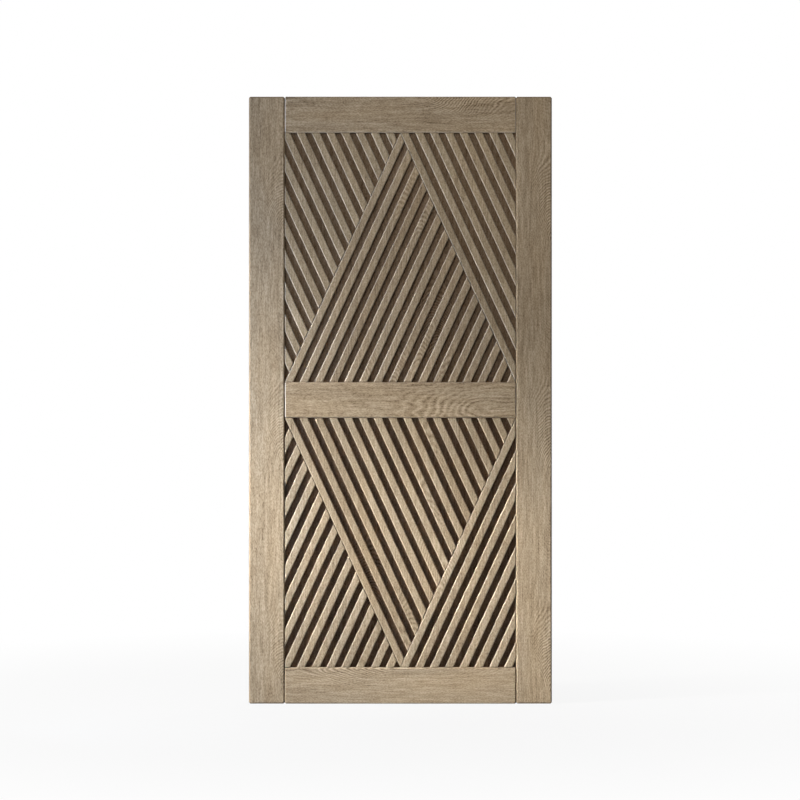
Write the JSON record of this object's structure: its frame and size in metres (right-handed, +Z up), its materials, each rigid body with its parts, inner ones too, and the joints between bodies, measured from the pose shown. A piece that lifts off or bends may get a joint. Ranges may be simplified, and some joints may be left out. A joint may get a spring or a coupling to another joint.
{
  "type": "barn door",
  "caption": "Sliding barn door slab: oak stile-and-rail frame, panels faced with slanted slats laid in mirrored triangles, and a floor-guide groove along the bottom edge.",
  "frame": {"origin": "middle of the top edge, on the upper face of the top rail", "axes": "+X to the right seen from the front, -Y out of the front face, +Z up"},
  "size_m": [1.065, 0.035, 2.134],
  "materials": {
    "frame_oak": "matte greige oak",
    "slat_oak": "matte greige oak",
    "panel_brown": "matte dark brown"
  },
  "bodies": {
    "root": {"left_stile": "frame_oak", "right_stile": "frame_oak", "top_rail": "frame_oak", "mid_rail": "frame_oak", "bottom_rail": "frame_oak", "upper_back_panel": "panel_brown", "lower_back_panel": "panel_brown", "front_upper_left_slats": "slat_oak", "front_upper_left_diagonal": "slat_oak", "front_upper_triangle_slats": "slat_oak", "front_upper_right_diagonal": "slat_oak", "front_upper_right_slats": "slat_oak", "front_lower_left_slats": "slat_oak", "front_lower_left_diagonal": "slat_oak", "front_lower_triangle_slats": "slat_oak", "front_lower_right_diagonal": "slat_oak", "front_lower_right_slats": "slat_oak", "back_upper_left_slats": "slat_oak", "back_upper_left_diagonal": "slat_oak", "back_upper_triangle_slats": "slat_oak", "back_upper_right_diagonal": "slat_oak", "back_upper_right_slats": "slat_oak", "back_lower_left_slats": "slat_oak", "back_lower_left_diagonal": "slat_oak", "back_lower_triangle_slats": "slat_oak", "back_lower_right_diagonal": "slat_oak", "back_lower_right_slats": "slat_oak"}
  },
  "joints": []
}
